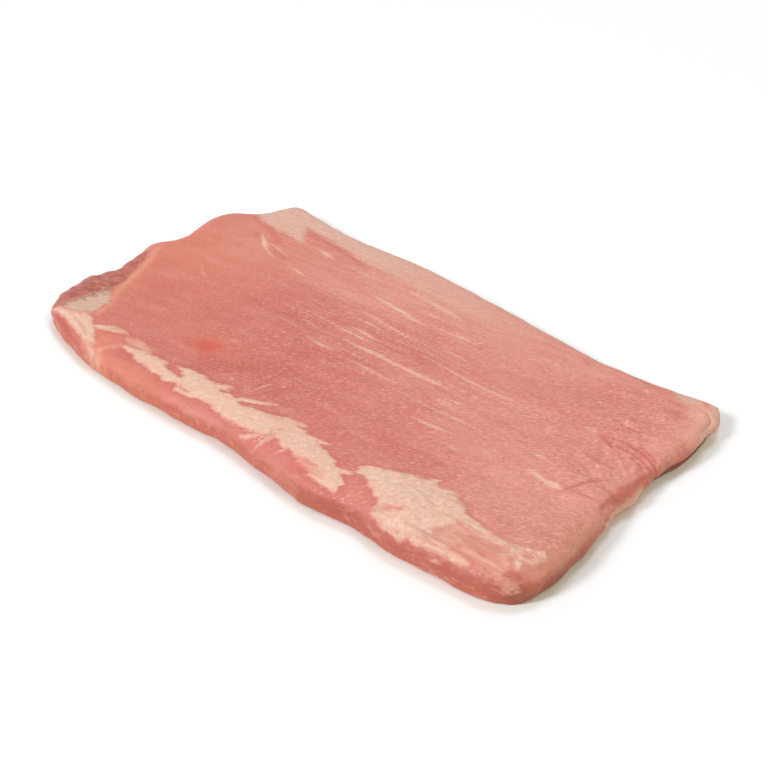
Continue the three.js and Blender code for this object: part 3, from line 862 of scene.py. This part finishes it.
def fat_colour():
    """Cream of the fat, deeper towards its edges, with painted highlights on specks, painted shade at
    pebbles and creases, pink places.
    """
    depth = total(shifted("fat", blotch, 9.0), grit)
    colour = over(linear(CREAM_DEEP), linear(CREAM), eased(depth, -1.0, 2.5))
    colour = painted(colour, CREAM_WHITE, eased(patchy, 0.48, 0.7, 0.3))
    # Painted highlights on the specks of the fat
    colour = painted(colour, CREAM_WHITE, eased(spots, 0.48, 0.7, 0.7))
    colour = painted(colour, CREAM_DEEP, eased(hatch, 0.48, 0.25, 0.6))
    # Painted shade between the pebbles of the fat
    colour = painted(colour, GREY_PINK, field("pebbled"), eased(spots, 0.46, 0.26, 0.6))
    colour = painted(colour, CREAM_DEEP, eased(mottle, 0.46, 0.25, 0.5))
    colour = painted(colour, VEIN_MIX, eased(shifted("fat_pink", veins, 2.4), 0.2, 1.1, 0.75))
    # Painted shade in the creases on the fat
    return painted(colour, GREY_BROWN, eased(inside_line("crease"), -0.9, 0.5, 0.3))


def with_fat(colour):
    """Patches of fat with torn edges, painted shade in the lean around them, and the red and grey on them.
    """
    edge = total(shifted("fat", flames, field("torn")), grit)
    # Painted shade in the lean around the raised fat
    colour = painted(colour, LEAN_DEEP, eased(edge, -3.2, -0.8, 0.35))
    colour = over(colour, fat_colour(), eased(edge, -1.3, 1.0))
    colour = painted(colour, FAT_RED, eased(shifted("fat_blood", blotch, 1.6), -0.9, 0.9, 0.7))
    return painted(colour, GREY_PINK, eased(field("fat_greyed"), 0.1, 0.9), eased(veins, 0.35, 0.65, 0.6))


def with_right_corner(colour):
    """Pale fat and red mark of the right corner, and the fat in the notch."""
    colour = painted(colour, CREAM_DEEP, eased(shifted("corner_glow", blotch, 6.0), -4.0, 6.0, 0.6))
    colour = painted(colour, GREY, eased(shifted("corner_patch", blotch, 3.0), -2.0, 2.0, 0.8))
    colour = painted(colour, CREAM, eased(shifted("corner_rim", blotch, 3.0), -1.6, 1.8, 0.8))
    colour = painted(colour, RED, eased(field("corner_mark"), -1.0, 1.0, 0.6))
    return painted(colour, NOTCH_TAN, eased(shifted("notch_fat", blotch, 5.0), -0.8, 1.4, 0.85))


def with_walls(colour):
    """Warm front foot with painted glow, brown right end wall and red folds with painted shade, and painted
    shade under the lip.
    """
    above_floor = field("height")
    on_end = field("end_wall")
    # Warm orange foot of the front, partly painted glow
    colour = painted(colour, FOOT_ORANGE_GLOW, field("warm_foot"), eased(above_floor, *WARM_FOOT_Z, 0.6))
    colour = painted(colour, END_TAN_BROWN, eased(shifted("end_tan", blotch, 3.0), -2.5, 2.0, 0.6))
    # Brown of the right end wall, partly painted shade
    colour = painted(colour, END_WALL_BROWN_SHADE, on_end, 0.5)
    colour = painted(colour, END_WALL_BROWN_SHADE, on_end, eased(blotch, 0.35, 0.6, 0.8))
    colour = painted(colour, DARK_BROWN_AND_SHADE, on_end, eased(grain, 0.48, 0.25, 0.6))
    # Painted shade darkening the right end wall towards its foot
    colour = painted(colour, DARK_BROWN_AND_SHADE, on_end, eased(above_floor, *DARK_END_Z, 0.65))
    # Red folds, partly painted shade
    colour = painted(colour, RED_BROWN, eased(shifted("red_folds", blotch, 3.0), -1.6, 1.6, 0.75))
    colour = painted(colour, CREAM_DEEP, eased(shifted("corner_fleck", grain, 5.0), -1.2, 1.8, 0.65))
    # Painted shade in the hollow under the lip
    return painted(colour, DARK_BROWN_AND_SHADE, eased(field("under_lip"), -0.4, 0.6))


def bumps():
    """Normals of the fine grain, blotches, pebbles and hatching."""
    grains = product(grain, field("grained"))
    pebbles = product(spots, field("pebbled"))
    inputs = {
        "Height": total(grains, product(blotch, BLOTCH_BUMP), pebbles, hatch),
        "Strength": BUMP_STRENGTH,
        "Distance": BUMP_DISTANCE * MM,
    }
    return node("ShaderNodeBump", inputs).outputs["Normal"]


colour = lean()
layers = (
    with_grain, with_lines, with_membrane, with_left_corner,
    with_veins, with_fat, with_right_corner, with_walls,
)
for add_layer in layers:
    colour = add_layer(colour)
tree.links.new(colour, surface.inputs["Base Color"])
roughness = math_node("SUBTRACT", ROUGHNESS, eased(specks, 0.45, 0.8, WET_SPECKS))
tree.links.new(roughness, surface.inputs["Roughness"])
tree.links.new(bumps(), surface.inputs["Normal"])
surface.inputs["IOR"].default_value = MEAT_IOR
surface.inputs["Subsurface Weight"].default_value = SUBSURFACE
surface.inputs["Subsurface Radius"].default_value = SUBSURFACE_RADIUS
surface.inputs["Subsurface Scale"].default_value = SUBSURFACE_SCALE * MM
mesh.materials.append(material)

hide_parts("steak")
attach(steak, "root")

# Floor
bpy.ops.mesh.primitive_plane_add(size=FLOOR_SIZE)
floor = bpy.context.object
floor.name = "floor"
floor_paint = bpy.data.materials.new("floor_white")
floor_paint.use_nodes = True
paint_inputs = floor_paint.node_tree.nodes["Principled BSDF"].inputs
paint_inputs["Base Color"].default_value = linear(FLOOR_WHITE)
paint_inputs["Roughness"].default_value = FLOOR_ROUGHNESS
paint_inputs["Specular IOR Level"].default_value = FLOOR_SPECULAR
floor.data.materials.append(floor_paint)


def set_up(holder, azimuth, elevation, distance, target=(0, 0, 0)):
    """Adds a lamp or camera that looks at the target from a distance, an azimuth and an elevation."""
    a, e = math.radians(azimuth), math.radians(elevation)
    toward = Vector((math.sin(a) * math.cos(e), -math.cos(a) * math.cos(e), math.sin(e)))
    holder.location = Vector(target) + toward * distance
    holder.rotation_euler = toward.to_track_quat("Z", "Y").to_euler()
    bpy.context.scene.collection.objects.link(holder)


# Light
world = bpy.data.worlds.new("studio")
bpy.context.scene.world = world
world.use_nodes = True
background = world.node_tree.nodes["Background"].inputs
background["Color"].default_value = (*WORLD_TINT, 1.0)
background["Strength"].default_value = WORLD_STRENGTH
for name, azimuth, elevation, size, power, tint in LAMPS:
    lamp = bpy.data.lights.new(name, "AREA")
    lamp.size = size
    lamp.color = tint
    lamp.energy = power
    set_up(bpy.data.objects.new(name, lamp), azimuth, elevation, LAMP_DISTANCE)

# Camera
lens = bpy.data.cameras.new("camera")
lens.lens = LENS
lens.sensor_width = SENSOR
lens.clip_start = CLIP_START
camera = bpy.data.objects.new("camera", lens)
set_up(camera, AZIMUTH, ELEVATION, DISTANCE, TARGET)
bpy.context.scene.camera = camera
bpy.context.scene.view_settings.view_transform = "Standard"
